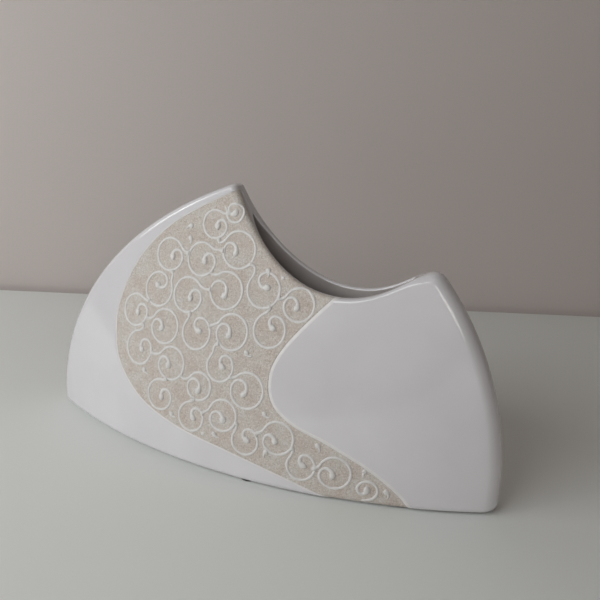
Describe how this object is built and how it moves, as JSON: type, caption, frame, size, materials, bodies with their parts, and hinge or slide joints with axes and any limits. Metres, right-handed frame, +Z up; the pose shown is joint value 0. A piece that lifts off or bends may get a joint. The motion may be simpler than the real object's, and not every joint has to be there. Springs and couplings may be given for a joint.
{
  "type": "pillow vase",
  "caption": "Low flat-sided pillow vase in white glaze with a scooped off-centre mouth and a sanded band of raised slip scrolls on the front; stands on felt pads.",
  "frame": {"origin": "centre of the length and depth, on the table under the felt pads", "axes": "+X along the length towards the low peak, +Y from the decorated front to the plain back, +Z up"},
  "size_m": [0.3001, 0.0854, 0.1658],
  "materials": {
    "white_glaze": "gloss white glaze",
    "bare_clay": "unglazed fired clay",
    "sand": "rough sanded slip, matt",
    "slip": "raised white slip, satin gloss",
    "felt": "dark pressed felt"
  },
  "bodies": {
    "root": {"back_shell": "white_glaze", "dot_01": "slip", "dot_02": "slip", "drop_01": "slip", "drop_02": "slip", "drop_03": "slip", "drop_04": "slip", "drop_05": "slip", "drop_06": "slip", "drop_07": "slip", "drop_08": "slip", "drop_09": "slip", "drop_10": "slip", "drop_11": "slip", "drop_12": "slip", "felt_pad_back": "felt", "felt_pad_front": "felt", "felt_pad_left": "felt", "felt_pad_right": "felt", "floor_slab": "bare_clay", "front_shell": "white_glaze", "sand_panel": "sand", "scroll_01": "slip", "scroll_02": "slip", "scroll_03": "slip", "scroll_04": "slip", "scroll_05": "slip", "scroll_06": "slip", "scroll_07": "slip", "scroll_08": "slip", "scroll_09": "slip", "scroll_10": "slip", "scroll_11": "slip", "scroll_12": "slip", "scroll_13": "slip", "scroll_14": "slip", "scroll_15": "slip", "scroll_16": "slip", "scroll_17": "slip", "scroll_18": "slip", "scroll_19": "slip", "scroll_20": "slip", "scroll_21": "slip", "scroll_22": "slip", "scroll_23": "slip", "scroll_24": "slip", "scroll_25": "slip", "scroll_26": "slip", "scroll_27": "slip", "scroll_28": "slip"}
  },
  "joints": []
}
